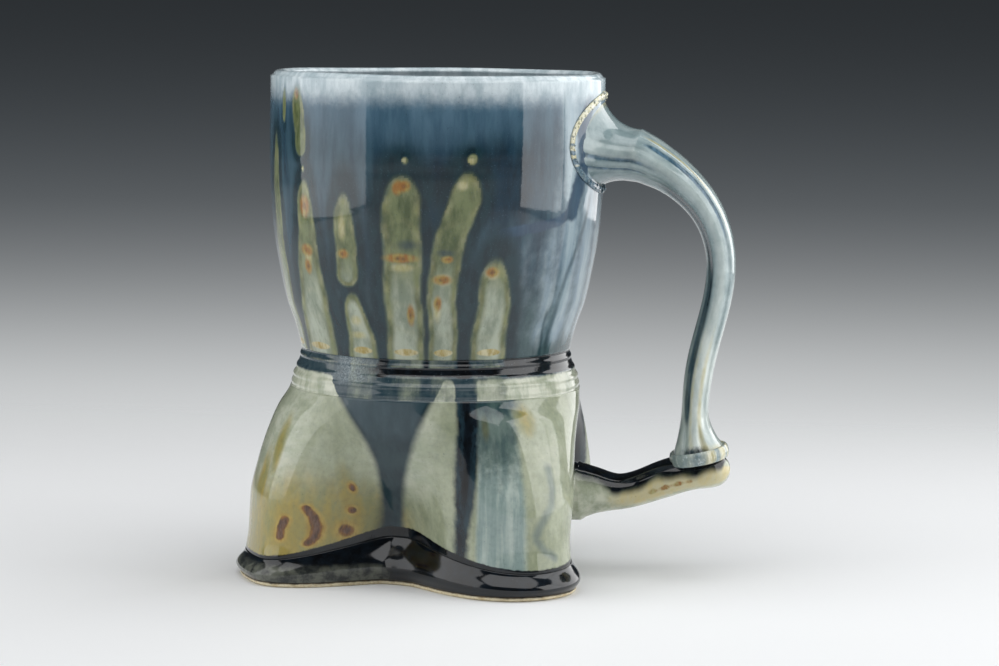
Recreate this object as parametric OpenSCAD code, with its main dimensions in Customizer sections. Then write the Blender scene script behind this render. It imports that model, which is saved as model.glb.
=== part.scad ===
// Porcelain beer stein: a thrown cup on a turned waist, a three-lobed skirt with a
// rolled foot, and a pulled strap handle that stands on a short branching arm.
// Millimetres, +Z up. The origin is the middle of the resting face, +X points to the handle.

/* [Cup] */
// Overall height from the table to the rim
stein_h = 130; // [124:1:140]
// Outer radius at the widest part of the cup
cup_r = 43.1; // [42:0.1:45]
// Outer radius just under the rim
rim_r = 42.3; // [41:0.1:44]
// Outer radius at the neck, where the cup is narrowest
neck_r = 34.8; // [34:0.1:36]
// Thickness of the thrown cup wall
cup_t = 3.2; // [2.8:0.1:4]

/* [Waist] */
// Height of the neck, where the cup sits on the waist collar
waist_top_z = 59; // [57:0.5:61]
// Height where the collar meets the skirt
waist_foot_z = 49; // [48:0.5:50]
// Outer radius at the bottom of the collar
waist_r = 37.4; // [37:0.1:38]
// Spacing of the three lower turned ridges
ridge_pitch = 2.1; // [1.8:0.1:2.2]
// How far a turned ridge stands out
ridge_h = 0.8; // [0.4:0.1:1.2]

/* [Skirt] */
// Radius that the lobes of the skirt wall reach
lobe_r = 48.3; // [46:0.1:50]
// Radius at the bottom of the valleys between the lobes
valley_r = 21.5; // [20:0.1:24]
// Thickness of the skirt wall
skirt_t = 4; // [3.4:0.1:4.6]
// Direction of the soft shoulder behind the handle, counted from +X
shoulder_dir = 33; // [30:1:36]
// Part of the lobe's reach that the shoulder takes
shoulder_reach = 0.88; // [0.6:0.01:0.9]

/* [Foot] */
// Height of the rolled foot on the lobes
foot_h = 6.5; // [6:0.1:8]
// Height that the foot climbs to in the valleys
foot_valley_h = 12; // [10:0.1:13]
// How far the foot flares out on the lobes
flare_lobe = 2.5; // [2:0.1:3]
// How far the foot flares out in the valleys
flare_valley = 4.4; // [4:0.1:5]
// Thickness of the bare clay edge on the table
slab_t = 1.3; // [1:0.1:1.6]
// Height of the floor inside
floor_z = 5; // [4.5:0.1:5.5]

/* [Handle] */
// Half the height of the strap's root on the cup
root_half_h = 11.4; // [10:0.1:12]
// Half the angle that the strap's root spans round the cup
root_half_angle = 31; // [28:1:32]
// Height of the middle of the strap's root
root_z = 112.3; // [110:0.1:113]
// Scale of the strap's width
strap_w_scale = 1; // [0.9:0.01:1.1]
// Height of the middle of the arm's root
arm_root_z = 22; // [21:0.1:23]
// Half the height of the arm's root
arm_root_half_h = 10.4; // [9:0.1:11]
// Half the angle that the arm's root spans round the skirt
arm_root_half_angle = 17; // [15:1:18]
// Radius of the raised seams at the joints of the handle
seam_r = 1; // [0.8:0.05:1.2]

/* [Hidden] */

// Columns round the lobed pieces, and rows up each side of them
COLUMNS = 96;
SKIRT_ROWS = 14;
LIP_ROWS = 7;
// Points round a handle section, rings along the strap and the arm
SECTION_POINTS = 16;
STRAP_RINGS = 44;
ARM_RINGS = 26;
// Steps that ease a root from its footprint on the body to the first free section
ROOT_RINGS = 5;
// Points along a seam and round its section
SEAM_STEPS = 48;
SEAM_SIDES = 6;
// How far a root or a seam beds into the wall behind it
BED = 0.35;

// Cup outline: [part of the height over the neck, part of the way from neck to widest radius]
CUP_KEYS = [
  [0, 0], [0.085, 0.18], [0.18, 0.46], [0.3, 0.68], [0.41, 0.84],
  [0.54, 0.94], [0.68, 0.99], [0.79, 1], [0.9, 0.985]
];

// Skirt from its foot seam up to the collar, in even steps: the part of the reach that the
// lobes keep beyond the waist, and the part of the depth that the valleys keep inside it
LOBE_KEYS = [1.06, 1, 0.98, 0.945, 0.83, 0.69, 0.52, 0.3, 0];
VALLEY_KEYS = [1, 0.93, 0.79, 0.6, 0.42, 0.265, 0.125, 0.03, 0];

// Swell of the hem round the axis: 1 on a lobe, 0 in a valley, by direction in degrees
HEM_KEYS = [
  [-172, 1], [-141, 1], [-118, 0], [-99, 0], [-54, 1], [-46, 1],
  [12, 0], [24, 0], [62, 1], [92, 1], [126, 0], [146, 0], [188, 1]
];

// Foot profile from its seam down to the bare edge, in even steps: part of the flare
LIP_KEYS = [0, 0.2, 0.5, 0.83, 1, 0.93, 0.55];

// Strap after its root: [x, z, thickness, width]
STRAP_KEYS = [
  [50.6, 109.2, 13.8, 27], [55.7, 107.4, 11.8, 24], [60.4, 104.7, 10.4, 22],
  [65.1, 100.9, 9.4, 21], [69, 96.5, 8.4, 20], [71.8, 91.3, 7.8, 19],
  [73.3, 85.6, 7.6, 18.5], [73.6, 79.5, 7.5, 18], [72.9, 73.5, 7.4, 17.5],
  [71.3, 67, 7.3, 17], [69.6, 61, 7.4, 16.5], [68.2, 54.5, 7.4, 16],
  [67.5, 48.5, 7.1, 15.5], [67.3, 43, 6.7, 15.5], [67.4, 39.4, 7.6, 16.5],
  [67.8, 36, 10.2, 18.5], [68.5, 32.6, 12, 20]
];

// Arm after its root: [x, z, height, width]
ARM_KEYS = [
  [38, 22.2, 15.5, 16.5], [40.7, 22.4, 11.8, 14.5], [43.5, 22.1, 10.4, 14],
  [47, 21.9, 9.3, 13.5], [51, 22.4, 8.7, 13], [56, 24.4, 9.2, 13.5],
  [61, 26.4, 9.8, 14.5], [66, 27.8, 9, 15.5], [71, 28.4, 9.6, 15],
  [74.2, 28.8, 8.6, 12], [76, 29.1, 5, 7], [76.6, 29.2, 1.2, 1.8]
];

GLAZE_BLUE = [0.3, 0.38, 0.46];
GLAZE_DARK = [0.13, 0.16, 0.19];
GLAZE_GREEN = [0.62, 0.65, 0.55];
GLAZE_BLACK = [0.05, 0.05, 0.06];
BARE_CLAY = [0.83, 0.76, 0.6];
GLAZE_PALE = [0.6, 0.68, 0.72];
BEAD_CREAM = [0.78, 0.72, 0.52];

// ---- curves ----

function smooth(t) = t * t * (3 - 2 * t);

function key(keys, i) = keys[max(0, min(len(keys) - 1, i))];

function blend4(a, b, c, d, t) =
  (2 * b + (c - a) * t + (2 * a - 5 * b + 4 * c - d) * t * t
  + (3 * b - a - 3 * c + d) * t * t * t) / 2;

// Point of a smooth curve through the keys, u from 0 to 1
function curve(keys, u) =
  let (s = u * (len(keys) - 1), i = min(floor(s), len(keys) - 2))
  blend4(key(keys, i - 1), key(keys, i), key(keys, i + 1), key(keys, i + 2), s - i);

function curve_points(keys, n) = [for (j = [0:n]) curve(keys, j / n)];

function mix(a, b, t) = a + (b - a) * t;

// ---- body surfaces ----

cup_side = [
  for (p = curve_points(CUP_KEYS, 26))
  [mix(neck_r, cup_r, p[1]), mix(waist_top_z, stein_h, p[0])]
];

function cup_radius(z) = lookup(z, [for (p = cup_side) [p[1], p[0]]]);

// Direction brought into the span of HEM_KEYS
function turn(a) = a < -172 ? a + 360 : a > 188 ? a - 360 : a;

function hem(a) = smooth(lookup(turn(a), HEM_KEYS));

// Height of the seam between the foot and the skirt
function seam_z(a) = mix(foot_valley_h, foot_h, hem(a));

// Shoulder behind the handle: it fades sideways, and down towards the foot
function shoulder(a, u) =
  let (side = (turn(a) - shoulder_dir) / 26)
  abs(side) >= 1 ? 0 : (1 - side * side) ^ 2 * smooth(min(1, u / 0.28));

function swell(a, u) = let (h = hem(a)) h + max(0, shoulder_reach - h) * shoulder(a, u);

// Outer radius of the skirt in direction a, u from 0 at the foot seam to 1 at the collar
function skirt_radius(a, u) =
  mix(mix(waist_r, valley_r, curve(VALLEY_KEYS, u)), mix(waist_r, lobe_r, curve(LOBE_KEYS, u)),
      swell(a, u));

function outer_point(a, u) = skirt_radius(a, u) * [cos(a), sin(a)];

// The same point moved in by the wall, square to the outline
function inner_point(a, u, t) =
  let (d = outer_point(a + 1, u) - outer_point(a - 1, u), n = [d[1], -d[0]] / norm(d))
  outer_point(a, u) - t * n;

function skirt_u(a, z) = (z - seam_z(a)) / (waist_foot_z - seam_z(a));

function flare(a) = mix(flare_valley, flare_lobe, hem(a));

// Clockwise from above, so that the loops close with their faces outward
function directions() = [for (i = [0:COLUMNS - 1]) 188 - 360 * i / COLUMNS];

// ---- meshes ----

// Faces between two rings of n points that start at points a and b
function band(a, b, n) = [
  for (k = [0:n - 1])
  let (m = (k + 1) % n)
  each [[a + k, a + m, b + m], [a + k, b + m, b + k]]
];

// Loops joined one to the next, and the last to the first
module closed_band(loops) {
  n = len(loops[0]);
  count = len(loops);
  polyhedron(
    points = [for (l = loops) each l],
    faces = [for (i = [0:count - 1]) each band(((i + 1) % count) * n, i * n, n)],
    convexity = 6
  );
}

// Rings joined one to the next, closed at both ends by a fan round a middle point
module capped_sweep(rings) {
  n = len(rings[0]);
  last = len(rings) - 1;
  first_mid = len(rings) * n;
  centres = [for (r = [rings[0], rings[last]]) [for (k = [0:2]) middle(r, k)]];
  polyhedron(
    points = concat([for (r = rings) each r], centres),
    faces = concat(
      [for (i = [0:last - 1]) each band((i + 1) * n, i * n, n)],
      [for (k = [0:n - 1]) [first_mid, k, (k + 1) % n]],
      [for (k = [0:n - 1]) [first_mid + 1, last * n + (k + 1) % n, last * n + k]]
    ),
    convexity = 6
  );
}

function middle(points, k) = sum([for (p = points) p[k]], 0) / len(points);

function sum(v, i) = i < len(v) ? v[i] + sum(v, i + 1) : 0;

// ---- handle sections ----

// Flattened oval section of a free stretch, square to the path in the XZ plane
function section(at, along, thick, wide) = [
  for (k = [0:SECTION_POINTS - 1])
  let (
    a = 360 * k / SECTION_POINTS,
    out = thick / 2 * sign(cos(a)) * abs(cos(a)) ^ 0.9,
    side = wide / 2 * sign(sin(a)) * abs(sin(a)) ^ 0.9
  )
  [at[0] + out * sin(along), side, at[1] - out * cos(along)]
];

function heading(keys, u) =
  let (a = curve(keys, max(0, u - 0.01)), b = curve(keys, min(1, u + 0.01)))
  atan2(b[1] - a[1], b[0] - a[0]);

function free_rings(keys, n, wide_scale) = [
  for (j = [0:n])
  let (u = j / n, p = curve(keys, u))
  section(p, heading(keys, u), p[2], p[3] * wide_scale)
];

// Oval footprint of the strap on the cup, and of the arm on the skirt
function cup_print(grow, lift) = [
  for (k = [0:SECTION_POINTS - 1])
  cup_print_point(360 * k / SECTION_POINTS, grow, lift)
];

function cup_print_point(a, grow, lift) =
  let (
    z = root_z - (root_half_h + grow) * cos(a),
    dir = (root_half_angle + grow * 1.33) * sin(a),
    r = cup_radius(z) + lift
  )
  [r * cos(dir), r * sin(dir), z];

function arm_print_point(a, grow, lift) =
  let (
    z = arm_root_z - (arm_root_half_h + grow) * cos(a),
    dir = (arm_root_half_angle + grow * 1.8) * sin(a),
    r = skirt_radius(dir, skirt_u(dir, z)) + lift
  )
  [r * cos(dir), r * sin(dir), z];

function arm_print(grow, lift) = [
  for (k = [0:SECTION_POINTS - 1])
  arm_print_point(360 * k / SECTION_POINTS, grow, lift)
];

// Rings that sweep from a footprint to the first free section, concave like a trumpet
function root_rings(print, first) = [
  for (j = [0:ROOT_RINGS - 1])
  let (u = j / ROOT_RINGS)
  [
    for (k = [0:SECTION_POINTS - 1])
    let (p = print[k], q = first[k])
    [
      mix(p[0], q[0], u ^ 1.3),
      mix(p[1], q[1], 1 - (1 - u) ^ 2),
      mix(p[2], q[2], 1 - (1 - u) ^ 2)
    ]
  ]
];

// Round bead of clay laid along a closed line of points
module seam(points) {
  n = len(points);
  closed_band([
    for (i = [0:n - 1])
    let (
      p = points[i],
      d = points[(i + 1) % n] - points[(i + n - 1) % n],
      along = d / norm(d),
      out = unit(cross(along, cross([p[0], p[1], 0], along))),
      side = cross(along, out)
    )
    [
      for (k = [0:SEAM_SIDES - 1])
      let (a = 360 * k / SEAM_SIDES)
      p + seam_r * (cos(a) * out + sin(a) * side)
    ]
  ]);
}

function unit(v) = v / norm(v);

// ---- pieces ----

module cup_wall() {
  // The inner side runs parallel to the outer one, and the rim is a half round
  rim_round = cup_t / 2 - 0.2;
  inner = [for (i = [len(cup_side) - 1:-1:0]) cup_side[i] - [cup_t, 0]];
  rim = [
    for (a = [0:20:180])
    [rim_r - rim_round + rim_round * cos(a), stein_h - rim_round + rim_round * sin(a)]
  ];
  color(GLAZE_BLUE)
  rotate_extrude($fn = 96)
  polygon(concat(cup_side, rim, inner));
}

module waist_collar() {
  // Three even ridges, and one more above a wider groove
  first_z = waist_foot_z + 1.2;
  ridge_zs = [first_z, first_z + ridge_pitch, first_z + 2 * ridge_pitch, waist_top_z - 1.7];
  side = [
    for (z = [waist_foot_z:0.5:waist_top_z])
    let (near = min([for (r = ridge_zs) abs(z - r)]), crown = max(0, 1 - near / 0.9))
    [mix(waist_r, neck_r, smooth((z - waist_foot_z) / (waist_top_z - waist_foot_z)))
     - (z == waist_foot_z || z == waist_top_z ? 0 : ridge_h * 0.5 * (1 - 2 * smooth(crown))), z]
  ];
  color(GLAZE_DARK)
  rotate_extrude($fn = 96)
  polygon(concat(side, [[neck_r - cup_t, waist_top_z], [waist_r - skirt_t, waist_foot_z]]));
}

module skirt_wall() {
  color(GLAZE_GREEN)
  closed_band([
    for (a = directions())
    concat(
      [
        for (j = [0:SKIRT_ROWS])
        let (u = j / SKIRT_ROWS, p = outer_point(a, u))
        [p[0], p[1], mix(seam_z(a), waist_foot_z, u)]
      ],
      [
        for (j = [SKIRT_ROWS:-2:0])
        let (u = j / SKIRT_ROWS, p = inner_point(a, u, skirt_t))
        [p[0], p[1], mix(seam_z(a), waist_foot_z, u)]
      ]
    )
  ]);
}

module foot_lip() {
  color(GLAZE_BLACK)
  closed_band([
    for (a = directions())
    let (wall = outer_point(a, 0), inside = inner_point(a, 0, skirt_t), out = [cos(a), sin(a)])
    concat(
      [[inside[0], inside[1], seam_z(a)], [inside[0], inside[1], slab_t]],
      [
        for (j = [LIP_ROWS - 1:-1:0])
        let (p = wall + out * flare(a) * LIP_KEYS[j])
        [p[0], p[1], mix(seam_z(a), slab_t, j / (LIP_ROWS - 1))]
      ]
    )
  ]);
}

module base_slab() {
  bare_edge = [
    for (a = directions())
    outer_point(a, 0) + [cos(a), sin(a)] * flare(a) * LIP_KEYS[LIP_ROWS - 1]
  ];
  color(BARE_CLAY) {
    linear_extrude(height = slab_t)
    polygon(bare_edge);
    translate([0, 0, slab_t])
    linear_extrude(height = floor_z - slab_t)
    polygon([for (a = directions()) inner_point(a, 0, skirt_t)]);
  }
}

module handle_strap() {
  free = free_rings(STRAP_KEYS, STRAP_RINGS, strap_w_scale);
  color(GLAZE_PALE)
  capped_sweep(concat(root_rings(cup_print(0, -BED), free[0]), free));
}

module handle_arm() {
  free = free_rings(ARM_KEYS, ARM_RINGS, 1);
  color(GLAZE_BLACK)
  capped_sweep(concat(root_rings(arm_print(0, -BED), free[0]), free));
}

module upper_seam() {
  color(BEAD_CREAM)
  seam([for (i = [0:SEAM_STEPS - 1]) cup_print_point(360 * i / SEAM_STEPS, 0.6, BED)]);
}

module arm_seam() {
  color(BEAD_CREAM)
  seam([for (i = [0:SEAM_STEPS - 1]) arm_print_point(360 * i / SEAM_STEPS, 0.6, BED)]);
}

module knuckle_seam() {
  foot = STRAP_KEYS[len(STRAP_KEYS) - 1];
  along = heading(STRAP_KEYS, 1);
  color(BEAD_CREAM)
  seam([
    for (i = [0:SEAM_STEPS - 1])
    let (a = 360 * i / SEAM_STEPS, out = (foot[2] / 2 + 0.2) * cos(a))
    [foot[0] + out * sin(along), (foot[3] / 2 + 0.2) * sin(a), foot[1] - out * cos(along)]
  ]);
}

cup_wall();
waist_collar();
skirt_wall();
foot_lip();
base_slab();
handle_strap();
handle_arm();
upper_seam();
knuckle_seam();
arm_seam();
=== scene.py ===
import math
import random

import bpy
import numpy as np
from mathutils import Matrix


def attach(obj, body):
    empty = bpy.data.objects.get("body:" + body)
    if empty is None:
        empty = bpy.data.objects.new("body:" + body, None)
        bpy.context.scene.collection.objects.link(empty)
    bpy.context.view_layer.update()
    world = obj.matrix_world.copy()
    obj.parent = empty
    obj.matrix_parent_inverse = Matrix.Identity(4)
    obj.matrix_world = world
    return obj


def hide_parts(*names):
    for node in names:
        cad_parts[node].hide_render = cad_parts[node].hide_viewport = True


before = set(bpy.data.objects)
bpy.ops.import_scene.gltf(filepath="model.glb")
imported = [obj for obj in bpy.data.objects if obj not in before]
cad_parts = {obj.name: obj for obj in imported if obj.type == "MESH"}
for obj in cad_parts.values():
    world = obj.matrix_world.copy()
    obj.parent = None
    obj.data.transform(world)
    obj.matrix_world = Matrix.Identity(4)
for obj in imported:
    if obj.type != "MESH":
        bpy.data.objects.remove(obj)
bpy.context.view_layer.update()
MM = 0.001

# ---- the stein's own dimensions, in millimetres and degrees ----
STEIN_H, CUP_R, RIM_R, NECK_R, CUP_T = 130.0, 43.1, 42.3, 34.8, 3.2
WAIST_TOP, WAIST_FOOT, WAIST_R = 59.0, 49.0, 37.4
RIDGES = ((50.2, .14), (52.3, .26), (54.4, .22), (57.3, .26))
LOBE_R, VALLEY_R, SKIRT_T = 48.3, 21.5, 4.0
SHOULDER_DIR, SHOULDER_REACH, SHOULDER_SPAN = 33.0, 0.88, 26.0
FOOT_H, FOOT_VALLEY_H, FLARE_LOBE, FLARE_VALLEY = 6.5, 12.0, 2.5, 4.4
SLAB_T, FLOOR_Z = 1.3, 5.0
STRAP_ROOT = (112.3, 11.4, 31.0)
ARM_ROOT = (22.0, 10.4, 17.0)
BED = 0.35
SETTLE = 3.0                       # over this height the unevenness fades out at the waist
START = -172                       # direction where counting round the body starts

# ---- mesh sizes: rows outside, rows inside; or rows, points around, rows in the root ----
AROUND = 480
ROUND = np.arange(AROUND) * 360 / AROUND + START
CUP_ROWS, WAIST_ROWS, SKIRT_ROWS, LIP_ROWS = (118, 40), (90, 12), (84, 30), (40, 8)
STRAP_MESH, ARM_MESH = (220, 96, 26), (150, 80, 22)

CUP_KEYS = [[0, 0], [.085, .18], [.18, .46], [.3, .68], [.41, .84],
            [.54, .94], [.68, .99], [.79, 1], [.9, .985]]
LOBE_KEYS = [1.06, 1, .98, .945, .83, .69, .52, .3, 0]
VALLEY_KEYS = [1, .93, .79, .6, .42, .265, .125, .03, 0]
HEM_KEYS = [[-172, 1], [-141, 1], [-118, 0], [-99, 0], [-54, 1], [-46, 1], [12, 0],
            [24, 0], [62, 1], [92, 1], [126, 0], [146, 0], [188, 1]]
LIP_KEYS = [0, .2, .5, .83, 1, .93, .55]
STRAP_KEYS = [[50.6, 109.2, 13.8, 27], [55.7, 107.4, 11.8, 24], [60.4, 104.7, 10.4, 22],
              [65.1, 100.9, 9.4, 21], [69, 96.5, 8.4, 20], [71.8, 91.3, 7.8, 19],
              [73.3, 85.6, 7.6, 18.5], [73.6, 79.5, 7.5, 18], [72.9, 73.5, 7.4, 17.5],
              [71.3, 67, 7.3, 17], [69.6, 61, 7.4, 16.5], [68.2, 54.5, 7.4, 16],
              [67.5, 48.5, 7.1, 15.5], [67.3, 43, 6.7, 15.5], [67.4, 39.4, 7.6, 16.5],
              [67.9, 36, 11.0, 18.8], [68.6, 32.4, 13.6, 20.6]]
ARM_KEYS = [[38, 22.2, 15.2, 16.5], [40.7, 22.3, 12.7, 15], [43.5, 22.1, 11.1, 14],
            [47, 21.9, 9.3, 13.5], [51, 22.4, 8.7, 13], [56, 24.4, 9.2, 13.5],
            [61, 26.4, 9.8, 14.5], [66, 27.8, 9, 15.5], [71, 28.4, 9.6, 15],
            [74.2, 28.8, 8.6, 12], [76, 29.1, 5, 7], [76.6, 29.2, 1.2, 1.8]]

# ---- glaze features: directions in degrees from the handle, heights in millimetres ----
# A drip: its centre line as (direction, height) from the top down, half width at the top
# and at the bottom, length of its rounded head, and where it ends
DRIPS = [
    ([(-147, 126), (-146, 116)], 1.0, 0.9, 4, 117),
    ([(-154, 114), (-155, 85), (-159, 59)], 2.2, 3.8, 14, 0),
    ([(-138, 126.5), (-136, 113), (-135, 108)], 2.7, 2.2, 7, 109),
    ([(-134.5, 107), (-134, 104)], 1.1, 1.1, 2, 105),
    ([(-134, 103), (-134, 88), (-135, 76), (-139, 59)], 2.8, 6.6, 7, 0),
    ([(-116, 100), (-116, 88), (-116, 76)], 3.1, 3.2, 10, 77),
    ([(-115, 75.5), (-114, 59)], 2.6, 4.2, 5, 0),
    ([(-94, 110), (-94, 107.5)], 1.3, 1.3, 1.6, 108),
    ([(-95, 105), (-95, 88), (-95, 59)], 5.0, 4.6, 9, 0),
    ([(-71.5, 110.8), (-72, 107)], 1.8, 1.8, 2.2, 108),
    ([(-72, 106), (-75.5, 95), (-80, 86), (-81, 78), (-80, 59)], 4.1, 3.5, 8, 0),
    ([(-62, 84.5), (-61.5, 72), (-61, 59)], 4.1, 4.7, 9, 0),
    ([(24, 92), (26, 76), (24, 59)], 2.8, 4.4, 8, 0),
    ([(42, 84), (43, 59)], 3.0, 4.6, 8, 0),
    ([(63, 104), (61, 84), (62, 59)], 3.6, 4.6, 8, 0),
    ([(84, 90), (85, 59)], 3.0, 4.2, 7, 0),
    ([(104, 101), (106, 80), (104, 59)], 3.6, 4.4, 9, 0),
    ([(124, 80), (125, 59)], 3.4, 4.6, 7, 0),
    ([(143, 109), (144, 85), (146, 59)], 3.0, 4.8, 8, 0),
    ([(168, 98), (170, 78), (173, 59)], 3.0, 4.8, 8, 0),
]
# A spot: direction, height, half width, half height
CUP_BROWN = [(-138.3, 124.5, .8, 1.3), (-134, 96.6, 1.5, 2.4), (-134.4, 85.6, 1.8, 1.3),
             (-135, 81.5, 1.1, 1.7), (-117, 85.3, 1.3, 1.0), (-96.2, 102.2, 1.1, 1.5),
             (-94, 102.6, 1.3, 1.2), (-95.5, 84.8, 3.4, 1.0), (-79.3, 84.7, 1.2, .8),
             (-81, 79.6, 1.9, 1.0), (-82.5, 73.6, .8, 1.6), (-63, 81.4, 1.4, 1.1),
             (-92.4, 70.5, .8, 2.2), (62, 100, 1.4, 1.4), (104, 97, 1.3, 1.5),
             (143, 105, 1.2, 1.6), (62, 82, 2.6, 1.0), (105, 78, 2.2, 1.0)]
CUP_CREAM = [(-94, 109, 1.0, .7), (-72, 109, 1.4, 1.1), (-74.5, 103, 1.8, 1.6),
             (-134.5, 106, .7, .7), (-117, 92, 1.4, 4), (-80.5, 79.6, 2.8, 1.8),
             (-63, 81, 2.6, 2.0), (-95, 82.5, 4.0, 1.4), (-115, 68.5, 2.0, 1.6),
             (-115, 64.8, 2.8, 1.2), (-82.5, 72, 1.2, 4), (-134, 84, 1.8, 2.5)]
SKIRT_BROWN = [(-127, 14.2, .9, 1.7), (-125, 19.4, .6, 1.0), (-123.2, 25.4, .55, 1.2),
               (82, 13, 1.0, 1.2), (178, 18, 1.0, 2.0)]
# A stroke: points along it, half width
SKIRT_STROKES = [([(-133.9, 20.4), (-132.9, 18.2), (-132.5, 15.4), (-132.9, 12.8), (-133.9, 11.2)],
                  .78), ([(-138.9, 17.2), (-140, 14.8), (-140.2, 12.8)], 1.05),
                 ([(75, 18), (74, 15), (75.5, 12.5)], 1.1)]
SKIRT_OCHRE = [(-158, 9, 22, 13), (-136, 14, 12, 12), (-126, 13, 4.2, 7), (-124.6, 21, 1.8, 8),
               (-152, 24, 3, 8), (-146, 35, 2, 6), (-65, 43, .8, 2.8), (76, 13, 12, 8),
               (180, 12, 8, 8), (-49, 44, 2.2, 3)]
# Edges of the dark funnel in the front valley: height, left direction, right direction
FUNNEL = [(54, -131, -79), (52, -127, -81), (46, -119, -87), (37, -112, -92),
          (30, -110, -96.5), (14, -119, -105), (9, -121, -102)]
# Dark runs down the skirt: centre line from the top down, half width
RUNS = [([(-71, 56), (-71, 45), (-72, 32), (-73, 11)], 2.8),
        ([(18, 54), (19, 30), (19, 13)], 4.5), ([(50, 54), (52, 22)], 1.6),
        ([(104, 54), (108, 12)], 2.2), ([(136, 54), (137, 12)], 5.0), ([(160, 54), (163, 26)], 1.4)]
# Soft grey lines low on the skirt
VEINS = [([(-44, 32), (-43.5, 27), (-45, 23), (-49, 19), (-51, 16)], 1.5),
         ([(-51, 15), (-48, 12), (-44, 10)], 1.3), ([(90, 30), (94, 22), (91, 15)], 1.2)]
# Blue glaze beside the handle's root and a thin branch of it towards the front
PATCHES = [([(-20, 123), (-25, 116), (-23, 108), (-27, 101), (-29, 96)], 2.6),
           ([(-28, 97), (-36, 93.5), (-48, 92), (-56, 91)], 1.3)]
# Thin dark lines down the right of the cup, as RUNS
CUP_LINES = [([(-18, 98), (-21, 93), (-27, 83), (-31, 76), (-32, 66), (-31, 58)], .9),
             ([(-37, 70), (-34, 58)], .5)]
# A painted dark reflection above the middle drips, and darker glaze across them, as spots
CUP_DARK_REFLECTION = [(-62, 103, 17, 15), (-82, 100, 12, 14)]
CUP_BANDS = [(-93, 88, 5, 2.4), (-80, 86.3, 4, 1.4), (-84, 96, 3, 6)]

# ---- colours, linear ----
NAVY, SLATE, STEEL = (.008, .030, .052), (.038, .084, .114), (.100, .180, .250)
INK, TEAL_DARK, BLACK = (.0060, .0100, .0150), (.020, .045, .060), (.0030, .0032, .0036)
MOSS, SAGE, CELADON, PALE = (.066, .090, .036), (.160, .190, .088), (.34, .38, .28), (.58, .60, .49)
CREAM, STRAW, OCHRE = (.56, .52, .33), (.42, .38, .16), (.34, .26, .070)
RUST, UMBER, LIVER = (.290, .125, .025), (.085, .040, .022), (.17, .10, .075)
ICE, MIST, HAZE = (.66, .74, .77), (.39, .48, .52), (.20, .28, .30)
CLAY, CLAY_DARK = (.80, .72, .52), (.60, .48, .28)
INNER_PALE, INNER_DARK = (.26, .34, .38), (.13, .20, .25)


# ---- shared curves ----

def smooth(t):
    """0 to 1 with no corner at either end."""
    t = np.clip(t, 0, 1)
    return t * t * (3 - 2 * t)


def rise(lo, hi, v):
    """0 below lo, 1 above hi."""
    return smooth((v - lo) / (hi - lo))


def span(start, full, fade, end, v):
    """Rises from start to full and falls from fade to end."""
    return rise(start, full, v) * (1 - rise(fade, end, v))


def mix(a, b, t):
    return a + (b - a) * t


def curve(keys, u):
    """Catmull-Rom curve through evenly spaced keys, u from 0 to 1."""
    k = np.asarray(keys, float)
    s = np.clip(np.asarray(u, float), 0, 1) * (len(k) - 1)
    i = np.minimum(s.astype(int), len(k) - 2)
    t = s - i
    if k.ndim > 1:
        t = t[..., None]
    a, b, c, d = (k[np.clip(i + j, 0, len(k) - 1)] for j in (-1, 0, 1, 2))
    return (2 * b + (c - a) * t + (2 * a - 5 * b + 4 * c - d) * t ** 2
            + (3 * b - a - 3 * c + d) * t ** 3) / 2


CUP_LINE = curve(CUP_KEYS, np.linspace(0, 1, 300))


def cup_radius(z):
    """Outer radius of the cup at a height."""
    return np.interp(z, mix(WAIST_TOP, STEIN_H, CUP_LINE[:, 0]), mix(NECK_R, CUP_R, CUP_LINE[:, 1]))


def turn(a):
    """A direction brought into the one turn that HEM_KEYS covers."""
    return np.where(a < START, a + 360, np.where(a > START + 360, a - 360, a))


HEM_TABLE = [[k[i] for k in HEM_KEYS] for i in (0, 1)]


def hem(a):
    """1 on a lobe of the skirt and 0 in a valley, by direction."""
    return np.mean([smooth(np.interp(turn(a + d), *HEM_TABLE)) for d in range(-8, 9, 2)], 0)


def seam_z(a):
    """Height of the seam between the skirt and the foot."""
    return mix(FOOT_VALLEY_H, FOOT_H, hem(a))


def skirt_radius(a, u):
    """Outer radius of the skirt, u from 0 at the foot seam to 1 at the waist."""
    side = (turn(a) - SHOULDER_DIR) / SHOULDER_SPAN
    shoulder = np.where(np.abs(side) < 1, (1 - side ** 2) ** 2, 0) * smooth(u / .28)
    h = hem(a)
    swell = h + np.maximum(0, SHOULDER_REACH - h) * shoulder
    valley = mix(WAIST_R, VALLEY_R, curve(VALLEY_KEYS, u))
    lobe = mix(WAIST_R, LOBE_R, curve(LOBE_KEYS, u))
    return mix(valley, lobe, swell)


def skirt_u(a, z):
    return (z - seam_z(a)) / (WAIST_FOOT - seam_z(a))


def plan(a, r):
    return np.stack([r * np.cos(np.radians(a)), r * np.sin(np.radians(a))], -1)


def skirt_inside(a, u, t):
    """The skirt's inner face in plan, t inside the outer one and square to it."""
    d = plan(a + 1, skirt_radius(a + 1, u)) - plan(a - 1, skirt_radius(a - 1, u))
    d /= np.linalg.norm(d, axis=-1, keepdims=True)
    return plan(a, skirt_radius(a, u)) - t * np.stack([d[..., 1], -d[..., 0]], -1)


def ripple(a, z, size=1.0):
    """Gentle unevenness of hand-thrown clay, a few hundredths of a millimetre."""
    t = np.radians(a)
    return size * (.004 * np.sin(z * 1.9 + 1.0 * t) + .010 * np.sin(z * .83 - 2 * t + 1)
                   + .05 * np.sin(3 * t + z * .05) + .015 * np.sin(7 * t - z * .11 + 2))


def arc(a, centre, r):
    """Signed length round the body from a direction."""
    return ((a - centre + 180) % 360 - 180) * np.pi / 180 * r


# ---- glaze fields ----

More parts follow.
